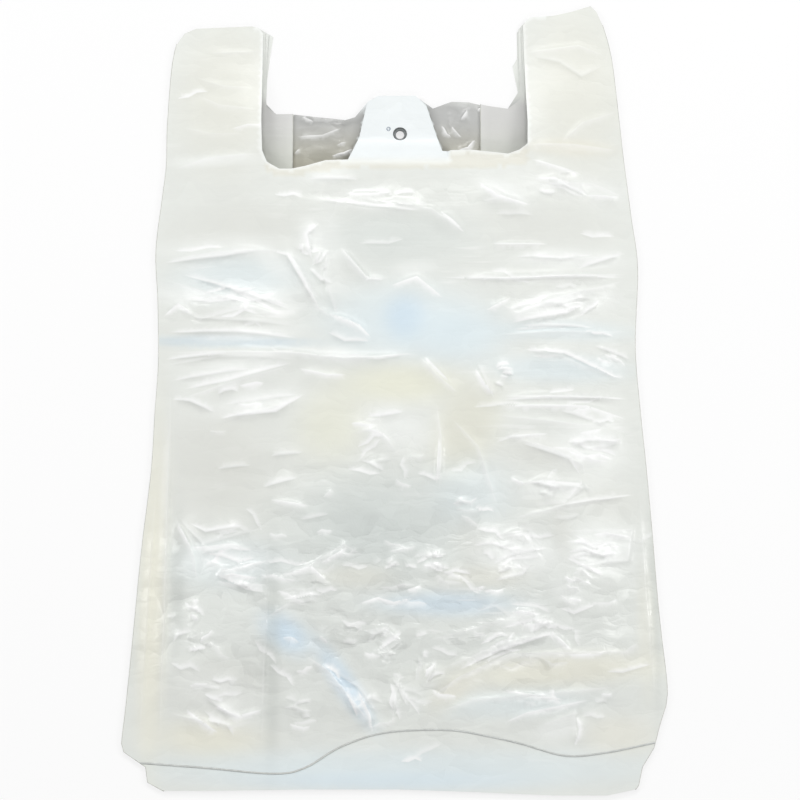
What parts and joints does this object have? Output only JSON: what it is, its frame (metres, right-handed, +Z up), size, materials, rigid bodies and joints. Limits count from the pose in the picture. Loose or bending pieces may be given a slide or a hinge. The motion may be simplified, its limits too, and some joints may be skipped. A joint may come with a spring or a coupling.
{
  "type": "plastic carrier bag",
  "caption": "Thin white film carrier bag with side gussets, loop handles, a bottom weld and a hanging tab, lying flat on its back.",
  "frame": {"origin": "centre of the bag's outline, on the surface that the back panel lies on", "axes": "+X to the right across the bag, +Y along the bag towards the handles, +Z up out of the front panel"},
  "size_m": [0.3293, 0.5004, 0.0145],
  "materials": {
    "white_film": "thin slightly translucent white film, glossy along its creases"
  },
  "bodies": {
    "root": {"carrier_bag": "white_film"}
  },
  "joints": []
}
